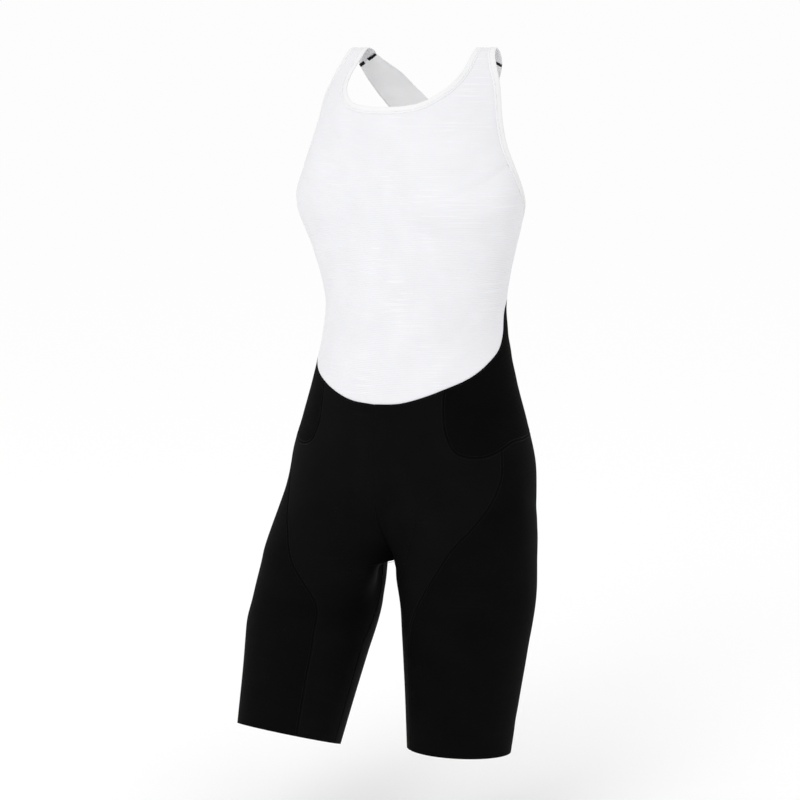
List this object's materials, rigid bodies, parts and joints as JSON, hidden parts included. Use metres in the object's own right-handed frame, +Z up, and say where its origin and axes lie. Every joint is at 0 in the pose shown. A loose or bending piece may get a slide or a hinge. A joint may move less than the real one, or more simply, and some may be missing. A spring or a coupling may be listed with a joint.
{
  "type": "cycling bib shorts",
  "caption": "Women's cycling bib shorts, filled out and hollow: white mesh bib with bound neck and armholes, crossed back straps, black back yoke and panelled stretch shorts",
  "frame": {"origin": "midway between the tops of the two shoulders, where the garment hangs from the wearer", "axes": "+Z is up, -Y is the garment's front and +X is the wearer's left"},
  "size_m": [0.3662, 0.3154, 0.8807],
  "materials": {
    "white_mesh": "fine ribbed mesh knit, matte",
    "white_binding": "folded knit binding, matte",
    "black_stretch": "smooth stretch knit, soft sheen",
    "black_side": "smooth stretch knit, matte",
    "black_yoke": "light stretch knit, matte"
  },
  "bodies": {
    "root": {"bib_front": "white_mesh", "back_strap_left": "white_mesh", "back_strap_right": "white_mesh", "neck_binding": "white_binding", "armhole_binding_left": "white_binding", "armhole_binding_right": "white_binding", "front_panel_left": "black_stretch", "front_panel_right": "black_stretch", "seat_panel_left": "black_stretch", "seat_panel_right": "black_stretch", "side_panel_left": "black_side", "side_panel_right": "black_side", "back_yoke": "black_yoke"}
  },
  "joints": []
}
